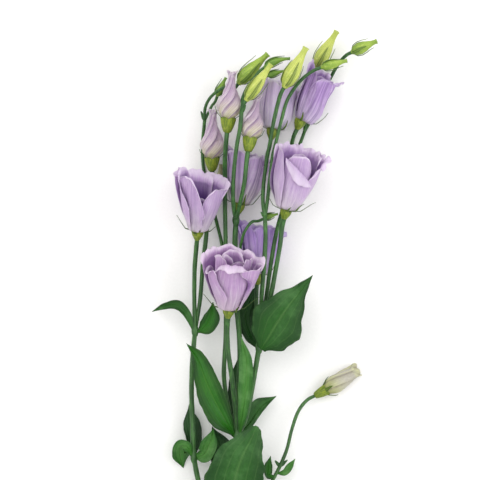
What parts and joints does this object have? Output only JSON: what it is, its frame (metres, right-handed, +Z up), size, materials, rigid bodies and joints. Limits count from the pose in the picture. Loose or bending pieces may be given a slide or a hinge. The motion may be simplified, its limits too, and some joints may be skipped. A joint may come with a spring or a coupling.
{
  "type": "lisianthus flower",
  "caption": "Cut branching lisianthus stem lying on its side, with lilac open blooms, lilac and green buds, thin sepals and broad pointed leaves.",
  "frame": {"origin": "middle of the lying spray's footprint, on the surface it lies on", "axes": "+Y along the stem towards the flowers, +Z up from the surface, +X to the right seen from above"},
  "size_m": [0.1927, 0.5033, 0.0753],
  "materials": {
    "stem": "smooth living green stem",
    "leaf": "satin leaf with a pale bloom",
    "petals": "soft matt petal",
    "calyx": "satin green",
    "green_bud": "satin yellow-green",
    "pale_bud": "soft matt petal"
  },
  "bodies": {
    "root": {"stem": "stem", "leaf_left_tip": "leaf", "leaf_left_round": "leaf", "leaf_broad_right": "leaf", "leaf_dark_mid": "leaf", "leaf_tall_front": "leaf", "leaf_light_mid": "leaf", "leaf_narrow_mid": "leaf", "leaf_nub_right": "leaf", "leaf_big_front": "leaf", "leaf_fold_left_a": "leaf", "leaf_fold_left_b": "leaf", "leaf_behind_left": "leaf", "leaf_dark_low": "leaf", "leaf_side_a": "leaf", "leaf_side_b": "leaf", "leaf_low_a": "leaf", "leaf_low_b": "leaf", "bloom_1_petals": "petals", "bloom_1_calyx": "calyx", "bloom_2_petals": "petals", "bloom_2_calyx": "calyx", "bloom_3_petals": "petals", "bloom_3_calyx": "calyx", "bloom_4_petals": "petals", "bloom_4_calyx": "calyx", "bloom_5_petals": "petals", "bloom_5_calyx": "calyx", "bloom_6_petals": "petals", "bloom_6_calyx": "calyx", "bloom_7_petals": "petals", "bloom_7_calyx": "calyx", "bud_lilac_1_petals": "petals", "bud_lilac_1_calyx": "calyx", "bud_lilac_2_petals": "petals", "bud_lilac_2_calyx": "calyx", "bud_lilac_3_petals": "petals", "bud_lilac_3_calyx": "calyx", "bud_white_petals": "pale_bud", "bud_white_calyx": "calyx", "bud_green_1": "green_bud", "bud_green_2": "green_bud", "bud_green_3": "green_bud", "bud_green_4": "green_bud", "bud_green_5": "green_bud", "bud_green_6": "green_bud", "bud_green_7": "green_bud", "bud_green_8": "green_bud", "bud_green_9": "green_bud", "bud_green_10": "green_bud", "bud_green_11": "green_bud"}
  },
  "joints": []
}
